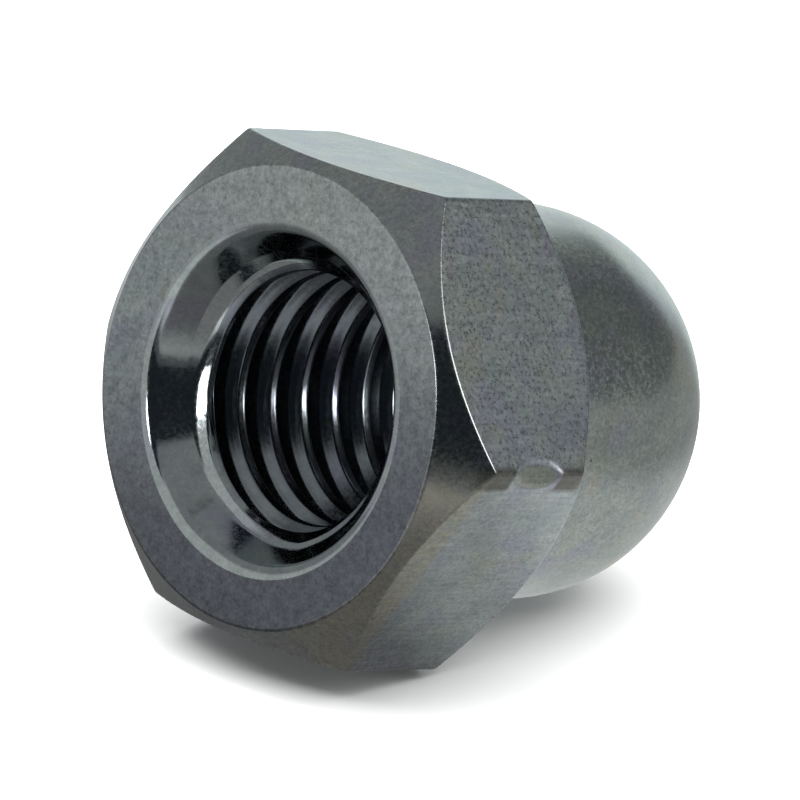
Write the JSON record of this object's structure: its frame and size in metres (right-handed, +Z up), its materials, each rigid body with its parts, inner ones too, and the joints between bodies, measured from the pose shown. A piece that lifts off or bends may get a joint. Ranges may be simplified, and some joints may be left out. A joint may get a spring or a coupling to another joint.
{
  "type": "cap nut",
  "caption": "Domed cap nut with a hexagon body, chamfered corners and a blind threaded hole, in bright zinc-plated steel.",
  "frame": {"origin": "the middle of the footprint, at the level of the surface that the nut lies on", "axes": "+Y along the ground from the open threaded mouth towards the dome, +Z up, +X to one corner edge; the nut lies on the rear edge of its lower flat and on its dome, so its own axis lies in the YZ plane and the mouth looks 14 degrees upwards along -Y"},
  "size_m": [0.0184, 0.0194, 0.0171],
  "materials": {
    "zinc_plated_steel": "bright zinc plating over turned and drawn steel, semi-gloss, lightly mottled"
  },
  "bodies": {
    "root": {"cap_nut": "zinc_plated_steel"}
  },
  "joints": []
}
